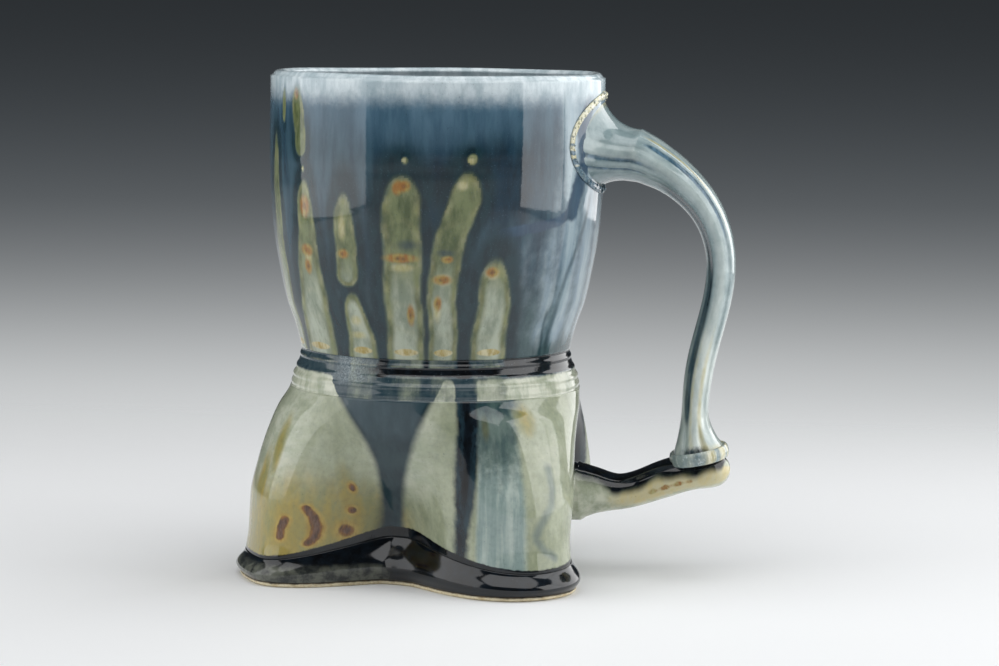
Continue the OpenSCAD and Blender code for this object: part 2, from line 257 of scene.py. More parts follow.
def centre_line(z, line):
    """Direction of a line given by points, at a height, with its corners rounded off."""
    highs = np.array([p[1] for p in line], float)[::-1]
    dirs = np.array([p[0] for p in line], float)[::-1]
    return np.mean([np.interp(z + d, highs, dirs) for d in np.linspace(-4.5, 4.5, 7)], 0)


def drip_field(a, z, r):
    """1 in the middle of a drip, 0 on its edge, negative outside, by its own half width."""
    best = np.full(np.shape(z), -3.0)
    for line, top_w, low_w, cap, end in DRIPS:
        top, foot = line[0][1], line[-1][1]
        w = mix(low_w, top_w, rise(foot, top, z))
        over = np.maximum(0, z - (top - cap)) / cap
        under = np.maximum(0, end + 3 - z) / 3 if end else 0
        sway = .35 * np.sin(z * .38 + foot + top) + .1 * np.sin(z * 1.1 + top)
        q = np.sqrt((arc(a, centre_line(z, line) + sway, r) / w) ** 2 + over ** 2 + under ** 2)
        best = np.maximum(best, 1 - q)
    return best


def spot_field(a, z, r, spots):
    """1 in the middle of a spot, 0 on its outline."""
    best = np.full(np.shape(z), -2.0)
    for direction, high, w, h in spots:
        q = np.sqrt((arc(a, direction, r) / w) ** 2 + ((z - high) / h) ** 2)
        best = np.maximum(best, 1 - q)
    return best


def stroke_field(a, z, r, strokes):
    """1 along the middle of a short stroke, 0 on its outline."""
    best = np.full(np.shape(z), -2.0)
    for line, w in strokes:
        x = arc(a, line[0][0], r)
        ends = [(math.radians(p[0] - line[0][0]) * LOBE_R, p[1]) for p in line]
        for (x0, z0), (x1, z1) in zip(ends, ends[1:]):
            long = (x1 - x0) ** 2 + (z1 - z0) ** 2
            t = np.clip(((x - x0) * (x1 - x0) + (z - z0) * (z1 - z0)) / long, 0, 1)
            gap = np.hypot(x - x0 - t * (x1 - x0), z - z0 - t * (z1 - z0))
            best = np.maximum(best, 1 - gap / w)
    return best


def run_field(a, z, r, runs):
    """1 along the middle of a long run down the body, 0 on its outline."""
    best = np.full(np.shape(z), -2.0)
    for line, w in runs:
        past = np.maximum(0, np.maximum(line[-1][1] - z, z - line[0][1])) / (2 * w)
        q = np.sqrt((arc(a, centre_line(z, line), r) / w) ** 2 + past ** 2)
        best = np.maximum(best, 1 - q)
    return best


def funnel_field(a, z, r):
    """Positive inside the funnel, by the distance from its nearer edge in units of 2 mm."""
    left = centre_line(z, [(f[1], f[0]) for f in FUNNEL])
    right = centre_line(z, [(f[2], f[0]) for f in FUNNEL])
    inside = np.minimum(arc(a, left, r), -arc(a, right, r))
    return np.clip(inside / 2, -2, 2)


# ---- meshes ----

def build(name, rings, node, material, fields, caps=False):
    """Mesh over rings of points: joined last to first, or closed by a cap at each end."""
    rows, n = rings.shape[:2]
    points = rings.reshape(-1, 3)
    i = np.arange(rows if not caps else rows - 1)[:, None]
    k = np.arange(n)[None, :]
    a, b = i * n + k, i * n + (k + 1) % n
    c, d = ((i + 1) % rows) * n + (k + 1) % n, ((i + 1) % rows) * n + k
    quads = np.stack([a, b, c, d], -1).reshape(-1, 4)
    faces = quads.tolist()
    if caps:
        points = np.concatenate([points, rings[0].mean(0)[None], rings[-1].mean(0)[None]])
        last = (rows - 1) * n
        for j in range(n):
            faces.append([(j + 1) % n, j, rows * n])
            faces.append([last + j, last + (j + 1) % n, rows * n + 1])
    p0, p1, p2, p3 = (points[quads[:, j]] for j in range(4))
    volume = (np.einsum("ij,ij->i", p0, np.cross(p1, p2)).sum()
              + np.einsum("ij,ij->i", p0, np.cross(p2, p3)).sum())
    if volume < 0:
        faces = [f[::-1] for f in faces]
    return put(name, points, faces, node, material, fields)


def put(name, points, faces, node, material, fields):
    """Makes the piece, with one attribute per field; the cap points take an end ring's value."""
    mesh = bpy.data.meshes.new(name)
    mesh.from_pydata((points * MM).tolist(), [], faces)
    mesh.polygons.foreach_set("use_smooth", np.ones(len(mesh.polygons), bool))
    for key, values in fields.items():
        flat = np.asarray(values, float).reshape(-1)
        if len(flat) < len(points):
            flat = np.concatenate([flat, flat[:1], flat[-1:]])
        mesh.attributes.new(key, "FLOAT", "POINT").data.foreach_set("value", flat)
    mesh.materials.append(material)
    mesh.update()
    piece = bpy.data.objects.new(name, mesh)
    bpy.context.scene.collection.objects.link(piece)
    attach(piece, "root")
    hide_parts(node)
    return piece


# ---- glaze materials ----

class Glaze:
    """Principled material whose base colour is built up in layers from fields and noise."""

    def __init__(self, name, roughness, low, high, grain, stretch=.16, bump=.00002):
        self.material = bpy.data.materials.new(name)
        self.material.use_nodes = True
        self.tree = self.material.node_tree
        self.shader = self.tree.nodes["Principled BSDF"]
        self.shader.inputs["Roughness"].default_value = roughness
        self.shader.inputs["IOR"].default_value = 1.52
        self.coord = self.node("ShaderNodeTexCoord").outputs["Object"]
        self.streaks = self.noise(grain, 5, (1, 1, stretch))
        self.colour = self.blend(self.ramp(self.streaks, .32, .68), low, high)
        lumps = self.noise(420, 3)
        relief = self.node("ShaderNodeBump")
        relief.inputs["Strength"].default_value = .5
        relief.inputs["Distance"].default_value = bump
        self.join(lumps, relief.inputs["Height"])
        self.join(relief.outputs["Normal"], self.shader.inputs["Normal"])

    def node(self, kind):
        return self.tree.nodes.new(kind)

    def join(self, a, b):
        self.tree.links.new(a, b)

    def noise(self, scale, detail=4, stretch=(1, 1, 1), shift=0.0):
        mapping = self.node("ShaderNodeMapping")
        mapping.inputs["Scale"].default_value = stretch
        mapping.inputs["Location"].default_value = (shift, shift, shift)
        self.join(self.coord, mapping.inputs["Vector"])
        n = self.node("ShaderNodeTexNoise")
        n.inputs["Scale"].default_value = scale
        n.inputs["Detail"].default_value = detail
        n.inputs["Roughness"].default_value = .6
        self.join(mapping.outputs["Vector"], n.inputs["Vector"])
        return n.outputs["Fac"]

    def field(self, name):
        n = self.node("ShaderNodeAttribute")
        n.attribute_name = name
        return n.outputs["Fac"]

    def maths(self, kind, a, b):
        n = self.node("ShaderNodeMath")
        n.operation = kind
        for value, socket in ((a, n.inputs[0]), (b, n.inputs[1])):
            if isinstance(value, (int, float)):
                socket.default_value = value
            else:
                self.join(value, socket)
        return n.outputs[0]

    def ramp(self, value, lo, hi):
        n = self.node("ShaderNodeMapRange")
        n.interpolation_type = "SMOOTHSTEP"
        n.inputs["From Min"].default_value = lo
        n.inputs["From Max"].default_value = hi
        self.join(value, n.inputs["Value"])
        return n.outputs["Result"]

    def blend(self, factor, a, b):
        n = self.node("ShaderNodeMix")
        n.data_type = "RGBA"
        self.join(factor, n.inputs["Factor"])
        for value, socket in ((a, n.inputs[6]), (b, n.inputs[7])):
            if isinstance(value, tuple):
                socket.default_value = (*value, 1)
            else:
                self.join(value, socket)
        return n.outputs[2]

    def layer(self, field, lo, hi, low, high, grain=500, rough=.3, edge=700, amount=1.0,
              stretch=(1, 1, .35)):
        """Lays a mottled colour where a field passes lo..hi.

        low and high are the mottle's two colours and grain its scale, stretched by stretch.
        rough says how far noise of scale edge breaks the outline, amount how opaque it is.
        """
        ragged = self.maths("MULTIPLY", self.maths("SUBTRACT", self.noise(edge, 5), .5), rough)
        mask = self.ramp(self.maths("ADD", self.field(field), ragged), lo, hi)
        if amount < 1:
            mask = self.maths("MULTIPLY", mask, amount)
        tint = self.blend(self.ramp(self.noise(grain, 5, stretch, .37), .35, .65), low, high)
        self.colour = self.blend(mask, self.colour, tint)

    def inside(self):
        """The plainer glaze on the inner face."""
        self.layer("inside", .3, .7, INNER_PALE, INNER_DARK, 220, .2)

    def speckle(self, tint, amount=.35, scale=2600, lo=.62, hi=.74):
        dots = self.maths("MULTIPLY", self.ramp(self.noise(scale, 2, shift=.81), lo, hi), amount)
        self.colour = self.blend(dots, self.colour, tint)

    def done(self):
        self.join(self.colour, self.shader.inputs["Base Color"])
        return self.material


def cup_glaze():
    g = Glaze("cup_glaze", .05, NAVY, SLATE, 260)
    g.layer("upper", .2, .9, (.050, .108, .160), STEEL, 200, .1, 300, .9, (1, 1, .2))
    g.layer("low", .1, 1.1, (.030, .064, .072), (.054, .098, .104), 300, .2)
    # Painted dark reflection on the front of the cup
    g.layer("dark_reflection", .05, 1, NAVY, INK, 200, .2, 200, .9)
    # Paler glaze beside the handle's root with a painted reflection on it, and a painted floor
    # reflection low on the front right
    g.layer("pale_glaze_and_reflection", .15, 1, (.24, .33, .40), MIST, 260, .6, 240, .9, (1, 1, .06))
    g.layer("patch", -.3, .3, (.016, .042, .082), (.034, .076, .130), 260, .8, 300, .85)
    g.layer("halo", .05, .95, (.010, .034, .044), (.006, .020, .028), 400, .2)
    g.layer("drip", -.16, .2, MOSS, SAGE, 330, .12, 260)
    g.layer("paler", .05, 1, (.21, .25, .185), (.40, .44, .35), 240, .2, 260)
    g.layer("cream", -.15, .75, STRAW, CREAM, 700, .35, 400, .75)
    g.layer("bar", .1, .7, CREAM, OCHRE, 500, .4)
    g.layer("brown", -.30, .50, OCHRE, RUST, 600, .35, 400)
    g.layer("brown", .30, .9, RUST, UMBER, 900, .3, 400, .8)
    g.layer("rim", .1, 1.1, MIST, ICE, 240, .35)
    g.layer("band", .1, .9, NAVY, TEAL_DARK, 400, .3, 500, .7)
    g.inside()
    g.speckle(STEEL, .22)
    g.speckle(INK, .25, 1500, .66, .74)
    return g.done()


def waist_glaze():
    g = Glaze("waist_glaze", .10, TEAL_DARK, (.052, .080, .092), 420, 1)
    g.layer("under", .2, .8, CELADON, PALE, 300, 1.1, 330)
    g.layer("crest", .3, .9, TEAL_DARK, CELADON, 180, .9, 260, .8)
    g.layer("crystal", .3, 1.2, (.05, .08, .09), MIST, 2300, 1.6, 300, .42, (1, 1, 1))
    g.layer("pool", .2, .7, BLACK, INK, 500, 1.1, 600)
    g.layer("straw", .1, .8, CELADON, CREAM, 500, .5)
    g.inside()
    g.speckle(MIST, .3, 2200, .66, .74)
    return g.done()


def skirt_glaze():
    g = Glaze("skirt_glaze", .06, (.28, .31, .20), (.43, .46, .33), 150, .5)
    g.layer("pale", .1, 1, (.40, .44, .33), PALE, 150, .4, 200, 1.0, (.6, .6, 1.6))
    g.layer("panel", .1, .9, (.25, .34, .33), (.46, .54, .50), 420, .5, 300, .9, (1, 1, .06))
    g.layer("ochre", -.75, .5, (.29, .28, .11), (.42, .32, .08), 240, .5, 200, .95)
    g.layer("ochre", .2, 1.1, (.36, .30, .10), OCHRE, 340, .8, 240, .7)
    g.layer("halo", -.6, .0, (.52, .38, .10), (.42, .27, .06), 700, .3)
    g.layer("brown", -.15, .3, RUST, UMBER, 900, .3)
    g.layer("brown", .25, .7, UMBER, LIVER, 1300, .3, 500, .8)
    # Painted shade: a dark border on the skirt just under the waist collar, on the front right
    g.layer("edge", -.1, .45, TEAL_DARK, SLATE, 420, .3)
    g.layer("funnel", -.7, .6, (.026, .052, .062), (.014, .032, .042), 300, .5, 300)
    g.layer("smear", .15, .9, (.020, .048, .050), (.070, .115, .100), 420, .8, 500, .8, (1, 1, .04))
    g.layer("heart", .1, 1, (.060, .100, .122), (.040, .074, .090), 240, .6, 300, .45)
    g.layer("vein", -.4, .9, (.12, .16, .15), (.20, .25, .22), 400, .5, 300, .75)
    g.layer("run", -.2, .3, TEAL_DARK, INK, 500, .45, 400)
    g.layer("run", .3, .9, INK, BLACK, 500, .4, 400)
    g.layer("black", .1, .5, INK, BLACK, 500, .6, 900)
    g.inside()
    g.speckle(TEAL_DARK, .3, 1800, .66, .74)
    return g.done()


def lip_glaze():
    g = Glaze("lip_glaze", .10, BLACK, INK, 420, 1)
    g.layer("grey", .25, .9, (.03, .034, .032), (.20, .21, .17), 300, .5, 300, .6, (1, 1, 1))
    g.speckle(MIST, .12, 2400, .68, .76)
    return g.done()


def clay_bare():
    g = Glaze("clay_bare", .75, CLAY_DARK, CLAY, 900, 1, .00006)
    g.colour = g.blend(g.ramp(g.noise(260, 4), .3, .6), CLAY, g.colour)
    g.speckle(CLAY_DARK, .5, 1900, .6, .7)
    g.layer("dip", .2, .8, (.10, .07, .04), BLACK, 300, .7)
    return g.done()


def strap_glaze():
    g = Glaze("strap_glaze", .06, (.19, .26, .27), (.36, .44, .45), 160, 1)
    # Painted highlight: a broad one along the strap's outer face and over its lower part, and a
    # pale strip on its outer edge
    g.layer("light", .1, 1, (.36, .43, .42), (.62, .68, .64), 160, .3, 200, 1.0, (1, 1, .5))
    g.layer("shade", .1, 1, (.09, .14, .155), HAZE, 160, .3, 200)
    g.layer("stripe", .1, .8, TEAL_DARK, (.05, .09, .11), 300, .2, 240)
    g.layer("blue", .2, .8, SLATE, STEEL, 600, .5)
    g.layer("cream", .2, 1, CREAM, STRAW, 700, .5, 500, .8)
    g.layer("soot", .2, .8, TEAL_DARK, INK, 900, .7)
    g.speckle(ICE, .25, 2200, .66, .74)
    return g.done()


def arm_glaze():
    g = Glaze("arm_glaze", .05, CELADON, PALE, 300, 1)
    g.layer("cream", .05, .7, (.58, .50, .26), CREAM, 400, .6)
    g.layer("orange", -.2, .5, STRAW, RUST, 900, .8, 900)
    g.layer("black", .0, .6, (.06, .075, .055), INK, 400, .35, 260)
    g.layer("black", .38, .75, INK, BLACK, 500, .2, 260)
    g.speckle(SAGE, .3, 2000, .64, .74)
    return g.done()


def bead_glaze():
    g = Glaze("bead_glaze", .08, SLATE, STEEL, 700, 1)
    g.layer("pale", .2, .8, (.24, .31, .31), (.46, .50, .44), 300, .6, 400, 1.0, (1, 1, 1))
    g.layer("cream", .35, .65, (.52, .49, .30), (.64, .63, .50), 500, .7, 500, 1.0, (1, 1, 1))
    g.layer("soot", .3, .7, INK, TEAL_DARK, 900, .6)
    g.speckle(ICE, .5, 1500, .6, .7)
    return g.done()


# ---- body ----

def make_cup():
    a = ROUND
    rim_round = CUP_T / 2 - .2
    rim_z, free_z = STEIN_H - rim_round, WAIST_TOP + SETTLE
    z_side = np.concatenate([np.linspace(WAIST_TOP, free_z, 9)[:-1],
                             np.linspace(free_z, rim_z, CUP_ROWS[0])])
    r_side = cup_radius(z_side)
    arcs = np.radians(np.linspace(0, 180, 15)[1:-1])
    r_rim = RIM_R - rim_round + rim_round * np.cos(arcs)
    z_rim = rim_z + rim_round * np.sin(arcs)
    z_in = np.linspace(rim_z, WAIST_TOP, CUP_ROWS[1])
    r_in = cup_radius(z_in) - CUP_T
    r = np.concatenate([r_side, r_rim, r_in])[:, None]
    z = np.concatenate([z_side, z_rim, z_in])[:, None]
    row = np.arange(len(r))[:, None]
    outer = row < len(r_side)
    inner = row >= len(r_side) + len(r_rim)
    angle = np.broadcast_to(a[None], (len(r), AROUND))
    high = np.broadcast_to(z, angle.shape)
    drip = drip_field(angle, high, r)
    ease = span(WAIST_TOP, free_z, 127, 129, high)
    bar_z = WAIST_TOP + 1.9
    bars = [(line[-1][0], bar_z, .7 * low_w, .9) for line, _, low_w, _, end in DRIPS if not end]
    bar = spot_field(angle, high, r, bars)
    radius = r + ripple(angle, high) * ease * .5
    radius = radius + np.where(outer, .03 * rise(-.3, .5, drip) + .12 * rise(0, .6, bar), 0)
    lift = (.12 * np.sin(np.radians(2 * angle + 40)) + .08 * np.sin(np.radians(5 * angle))) - .2
    top = high + lift * rise(124, 130, high)
    rings = np.concatenate([plan(angle, radius), top[..., None]], 2)
    side = np.where(outer, 1.0, 0.0)
    line = run_field(angle, high, r, CUP_LINES)
    brown = spot_field(angle, high, r, [(d, h, w * 1.3, t * 1.25) for d, h, w, t in CUP_BROWN])
    banding = .5 + .5 * np.sin(high * .9 + angle * .05)
    cream = np.maximum(spot_field(angle, high, r, CUP_CREAM),
                       rise(-.1, .25, drip) * (.42 - drip) * banding)
    # half is a painted floor reflection low on the front right of the cup; streaks split the
    # painted reflection into upright bands
    half = .42 * span(-57, -50, -44, -33, angle) * (1 - rise(84, 98, high))
    streaks = .78 + .22 * np.sin(np.radians(angle * 30) + high * .05)
    halo = rise(-1.5, -.2, drip) * (1 - rise(-.1, .1, drip)) * (1 - rise(110, 124, high) * .8)
    fields = {
        "patch": np.where(outer, stroke_field(angle, high, r, PATCHES), -2),
        "upper": rise(100, 126, high) * .75 + .15 * np.sin(np.radians(angle * 3)),
        "low": (1 - rise(62, 92, high)) * side,
        "drip": np.where(outer, drip, -3),
        # Painted dark reflection on the front of the cup
        "dark_reflection": side * np.maximum(0, spot_field(angle, high, r, CUP_DARK_REFLECTION)) * 1.6,
        # Paler glaze beside the handle's root with a painted reflection on it, plus the painted
        # floor reflection from half
        "pale_glaze_and_reflection": side * (rise(-44, -33, angle) + half) * (1 - rise(6, 20, angle))
        * rise(58, 66, high) * streaks,
        "halo": np.maximum(halo, .5 * rise(-1.3, .8, line)) * side,
        "paler": rise(.1, .6, drip) * (1 - rise(68, 92, high)) * side,
        "cream": np.where(outer & (drip > -.04), cream, -2),
        "bar": rise(-.2, .4, bar) * side,
        "band": side * np.maximum(spot_field(angle, high, r, CUP_BANDS), 0),
        "brown": np.where(outer, brown, -2),
        "rim": 1.1 * rise(118.5, 129.2, high) * np.where(inner, .8, 1)
        * (1 - .35 * rise(-.4, .2, drip)),
        "inside": np.where(inner, 1.0 - rise(122, 129, high), 0.0),
    }
    return build("cup_wall_glazed", rings, "cup_wall", cup_glaze(), fields)


def make_waist():
    a = ROUND
    z = np.concatenate([np.linspace(WAIST_FOOT, WAIST_TOP, WAIST_ROWS[0]),
                        np.linspace(WAIST_TOP, WAIST_FOOT, WAIST_ROWS[1])])
    outer = np.arange(len(z)) < WAIST_ROWS[0]
    up = (z - WAIST_FOOT) / (WAIST_TOP - WAIST_FOOT)
    crown = np.max([smooth(1 - np.abs(z - at) / .95) * tall for at, tall in RIDGES], 0)
    ends = span(WAIST_FOOT, WAIST_FOOT + .3, WAIST_TOP - .3, WAIST_TOP, z)
    r_out = mix(WAIST_R, NECK_R, smooth(up)) + (crown - .22) * ends
    r_in = mix(WAIST_R - SKIRT_T, NECK_R - CUP_T, up)
    r = np.where(outer, r_out, r_in)[:, None]
    angle = np.broadcast_to(a[None], (len(z), AROUND))
    high = np.broadcast_to(z[:, None], angle.shape)
    inset = span(WAIST_FOOT, 51, 57.8, WAIST_TOP, high)
    rings = np.concatenate([plan(angle, r + ripple(angle, high * .3) * inset), high[..., None]], 2)
    side = np.where(outer, 1.0, 0.0)[:, None]
    drips = rise(-.3, .3, drip_field(angle, np.full(angle.shape, 60.0), r))
    pool = span(54.7, 55.3, 56.6, 57.4, high) * rise(-128, -88, angle)
    gap = (1 - drips) * rise(-122, -112, angle)
    crest = np.broadcast_to(rise(.1, .5, crown)[:, None], angle.shape)
    bare = (rise(-.1, .3, -funnel_field(angle, high, r))
            * (1 - rise(-.3, .2, run_field(angle, high, r, RUNS))))
    washed = np.maximum(crest * (.25 + .75 * drips), .62 * drips * rise(-150, -120, angle))
    fields = {
        "crest": side * washed * np.where(angle < -40, 1, .7),
        "under": side * (1 - rise(53.0, 55.2, high)) * bare,
        "crystal": side * span(-138, -120, -118, -100, angle) * rise(50, 54, high),
        "pool": side * np.maximum(pool, gap * rise(54, 55, high) * .9),
        "straw": side * crest * drips
        * (rise(56.2, 57, high) + span(49.6, 50.4, 51, 51.6, high)) * .9,
        "inside": 1 - np.broadcast_to(side, angle.shape),
    }
    return build("waist_collar_glazed", rings, "waist_collar", waist_glaze(), fields)


def make_skirt():
    a = ROUND
    u = np.concatenate([np.linspace(0, 1, SKIRT_ROWS[0]), np.linspace(1, 0, SKIRT_ROWS[1])])
    outer = (np.arange(len(u)) < SKIRT_ROWS[0])[:, None]
    angle = np.broadcast_to(a[None], (len(u), AROUND))
    uu = np.broadcast_to(u[:, None], angle.shape)
    r = skirt_radius(angle, uu)
    high = mix(seam_z(angle), WAIST_FOOT, uu)
    flat = np.where(outer[..., None], plan(angle, r), skirt_inside(angle, uu, SKIRT_T))
    soft = span(0, .06, .92, 1, uu)
    flat = flat + plan(angle, ripple(angle, high * .7, 1.3) * soft)
    rings = np.concatenate([flat, high[..., None]], 2)
    side = np.where(outer, 1.0, 0.0)
    brown = np.maximum(spot_field(angle, high, r, SKIRT_BROWN),
                       stroke_field(angle, high, r, SKIRT_STROKES))
    funnel = funnel_field(angle, high, r)
    run = run_field(angle, high, r, RUNS)
    behind = rise(5, 12, angle)
    near_foot = high - seam_z(angle) - 1.8 * (1 - hem(angle))
    fields = {
        "pale": rise(16, 30, high) * (.55 + .3 * np.sin(np.radians(angle * 7 + 50)))
        * (1 - .6 * rise(-62, -50, angle) * (1 - behind))
        + .2 * rise(-52, -42, angle) * (1 - behind),
        "panel": span(-70, -67, -57, -52, angle)
        + behind * (.5 + .5 * np.sin(np.radians(angle * 9))),
        "ochre": spot_field(angle, high, r, SKIRT_OCHRE),
        "halo": np.where(brown > -1.2, brown * .6, -2),
        "brown": brown,
        # Painted shade under the waist collar
        "edge": rise(44, 49, high) * span(-76, -66, -60, -45, angle) * .7,
        "funnel": funnel,
        "run": run - .45 * (1 - rise(13, 34, high)),
        "heart": side * rise(.1, 1.1, funnel) * span(35, 43, 49, 53, high),
        "smear": side * rise(20, 43, high) * span(-70, -67, -57, -50, angle),
        "vein": stroke_field(angle, high, r, VEINS),
        "black": 1 - rise(.2, 1.4, near_foot),
        "inside": 1 - np.broadcast_to(side, angle.shape),
    }
    for key in ("ochre", "halo", "brown", "funnel", "run"):
        fields[key] = np.where(outer, fields[key], -2)
    return build("skirt_wall_glazed", rings, "skirt_wall", skirt_glaze(), fields)


def flare(a):
    """How far the foot stands out past the skirt."""
    return mix(FLARE_VALLEY, FLARE_LOBE, hem(a))


def make_lip():
    a = ROUND
    v = np.linspace(0, 1, LIP_ROWS[0])
    angle = np.broadcast_to(a[None], (len(v), AROUND))
    high = mix(seam_z(angle), SLAB_T, v[:, None])
    r0 = skirt_radius(angle, angle * 0)
    profile = np.mean([curve(LIP_KEYS, v + d) for d in np.linspace(-.11, .11, 9)], 0)
    out = plan(angle, r0 + flare(angle) * profile[:, None])
    inside = skirt_inside(a, a * 0, SKIRT_T)
    wall = [np.concatenate([inside, h[:, None]], 1)
            for h in (mix(SLAB_T, seam_z(a), t) for t in np.linspace(0, 1, LIP_ROWS[1]))]
    rings = np.concatenate([np.concatenate([out, high[..., None]], 2), np.array(wall)])
    full = rings[..., 2]
    around = np.broadcast_to(a[None], full.shape)
    row = np.broadcast_to(np.arange(len(rings))[:, None], full.shape)
    left = 1 - rise(-120, -104, around)
    fields = {
        "grey": np.where(row < LIP_ROWS[0], (left * .9 + .22) * (1 - rise(3, 7.5, full)), 0),
    }
    return build("foot_lip_glazed", rings, "foot_lip", lip_glaze(), fields)


def make_slab():
    a = ROUND
    r_edge = skirt_radius(a, a * 0) + flare(a) * LIP_KEYS[-1]
    inside = skirt_inside(a, a * 0, SKIRT_T)
    # Rings as (share of the outline, height): the underside from the middle out, then the floor
    under = ((.3, .25), (.6, .25), (.8, .2), (.9, 0), (.97, 0), (.99, .12), (1, .5), (1, SLAB_T))
    floor = ((1, SLAB_T), (1, FLOOR_Z), (.9, FLOOR_Z - .1), (.5, FLOOR_Z - .15))
    rings = np.array([np.concatenate([edge * f, np.full((AROUND, 1), z)], 1)
                      for edge, rows in ((plan(a, r_edge), under), (inside, floor))
                      for f, z in rows])
    dip = {"dip": rise(.95, 1.25, rings[..., 2]) * (rings[..., 2] < 2)}
    return build("base_slab_clay", rings, "base_slab", clay_bare(), dip, caps=True)


# ---- handle ----

def section(at, along, thick, wide, ang):
    """Ring of points across the handle, a little squarer than an ellipse."""
    out = thick / 2 * np.sign(np.cos(ang)) * np.abs(np.cos(ang)) ** .9
    side = wide / 2 * np.sign(np.sin(ang)) * np.abs(np.sin(ang)) ** .9
    return np.stack([at[0] + out * math.sin(along), side, at[1] - out * math.cos(along)], -1)


def eased(keys, u):
    """The keys at a share u of the way, with their corners rounded."""
    reach = min(.07, u, 1 - u)
    return np.mean([curve(keys, u + d * reach) for d in np.linspace(-1, 1, 9)], 0)


def heading(keys, u):
    """Angle of the handle's centre line, in its own upright plane."""
    a, b = eased(keys, max(0, u - .01)), eased(keys, min(1, u + .01))
    return math.atan2(b[1] - a[1], b[0] - a[0])


def cup_print(ang, grow, lift):
    """Outline of the strap's root on the cup."""
    z = STRAP_ROOT[0] - (STRAP_ROOT[1] + grow) * np.cos(ang)
    d = (STRAP_ROOT[2] + grow * 1.33) * np.sin(ang)
    return np.concatenate([plan(d, cup_radius(z) + lift), z[:, None]], 1)


def arm_print(ang, grow, lift):
    """Outline of the arm's root on the skirt."""
    z = ARM_ROOT[0] - (ARM_ROOT[1] + grow) * np.cos(ang)
    d = (ARM_ROOT[2] + grow * 1.8) * np.sin(ang)
    return np.concatenate([plan(d, skirt_radius(d, skirt_u(d, z)) + lift), z[:, None]], 1)


def sweep(keys, footprint, mesh, relief):
    """Rings from a footprint on the body along the keys; relief(angle, share) is in mm.

    footprint(ang, grow, lift) is the root's outline; mesh is rows, points around, root rows.
    """
    n, around, root_rows = mesh
    ang = np.arange(around) * 2 * np.pi / around
    free = []
    for u in np.linspace(0, 1, n):
        x, z, thick, wide = eased(keys, u)
        free.append(section((x, z), heading(keys, u), thick, wide, ang))
    p, q = footprint(ang, 0, -BED), free[0]
    rings = []
    for u in np.arange(root_rows) / root_rows:
        ease = 1 - (1 - u) ** 2
        rings.append(np.stack([mix(p[:, 0], q[:, 0], u ** 1.3), mix(p[:, 1], q[:, 1], ease),
                               mix(p[:, 2], q[:, 2], ease)], 1))
    rings = np.array(rings + free)
    share = np.linspace(0, 1, len(rings))
    middle = rings.mean(1, keepdims=True)
    away = rings - middle
    away /= np.linalg.norm(away, axis=2, keepdims=True)
    grid_a, grid_s = np.meshgrid(np.degrees(ang), share)
    rings[1:] += (relief(grid_a, grid_s)[..., None] * away)[1:]
    return rings, grid_a, grid_s


def bump_at(a, centre, width):
    """Soft ridge across a section, at an angle in degrees and the same on the far side."""
    near = np.minimum(np.abs(a - centre), np.abs(a - (360 - centre)))
    return np.exp(-(near / width) ** 2)


def strap_slide(s):
    """How far the pulled grooves wander round the strap, in degrees."""
    return 12 * np.sin(s * 5)


def strap_relief(a, s):
    """Pulled grooves and ridges, creases at the root and a pinch above the foot."""
    body = span(.04, .2, .86, .97, s)
    slide = strap_slide(s)
    groove = -.40 * bump_at(a, 232 + slide * .4, 9) - .55 * bump_at(a, 306 + slide * .5, 15)
    ridge = .30 * bump_at(a, 218 + slide * .4, 6) + .25 * bump_at(a, 270 + slide * .4, 14)
    root = span(0, .03, .1, .3, s)
    crease = -.75 * bump_at(a, 276, 4) - .6 * bump_at(a, 297, 3.5) - .4 * bump_at(a, 250, 4)
    foot = span(.84, .93, .985, 1, s)
    pinch = -.7 * bump_at(a, 255, 8) - .7 * bump_at(a, 300, 8)
    return (groove + ridge) * body + crease * root + pinch * foot


def make_strap():
    rings, a, s = sweep(STRAP_KEYS, cup_print, STRAP_MESH, strap_relief)
    slide = strap_slide(s)
    front = np.where(a > 180, 1.0, 0.0)
    rib = bump_at(a, 214, 5)
    fields = {
        # Painted highlight along the strap's outer face and lower part, and a pale strip on its
        # outer edge
        "light": rise(.45, .85, s) * .9 + .5 * bump_at(a, 262, 22) + .5 * bump_at(a, 190, 16),
        "shade": .55 * bump_at(a, 0, 50) + .4 * bump_at(a, 180, 14) + .35 * (1 - rise(.08, .2, s)),
        "stripe": 1.1 * bump_at(a, 306 + slide * .5, 17) * span(.14, .3, .8, .93, s),
        "blue": bump_at(a, 233, 7) * span(.1, .16, .34, .5, s)
        + .8 * (bump_at(a, 276, 5) + bump_at(a, 297, 4)) * (1 - rise(.1, .24, s)),
        "cream": rib * span(.1, .15, .35, .5, s)
        + (bump_at(a, 250, 12) + .8 * bump_at(a, 281, 9)) * rise(.5, .75, s) * .8
        + (1 - rise(.0, .03, s)) * .9 + .8 * bump_at(a, 215, 30) * rise(.93, .98, s) * front,
        "soot": rise(.93, .97, s) * bump_at(a, 275, 40) * .75,
    }
    return build("handle_strap_glazed", rings, "handle_strap", strap_glaze(),
                 fields, caps=True)


def arm_relief(a, s):
    """Lumps left by the fingers, and a shallow groove."""
    lumps = .10 * np.sin(s * 14 + np.radians(a)) + .03 * np.sin(s * 33 + 2 * np.radians(a))
    groove = -.14 * bump_at(a, 256, 22)
    return (lumps + groove) * span(.06, .2, .9, 1, s)


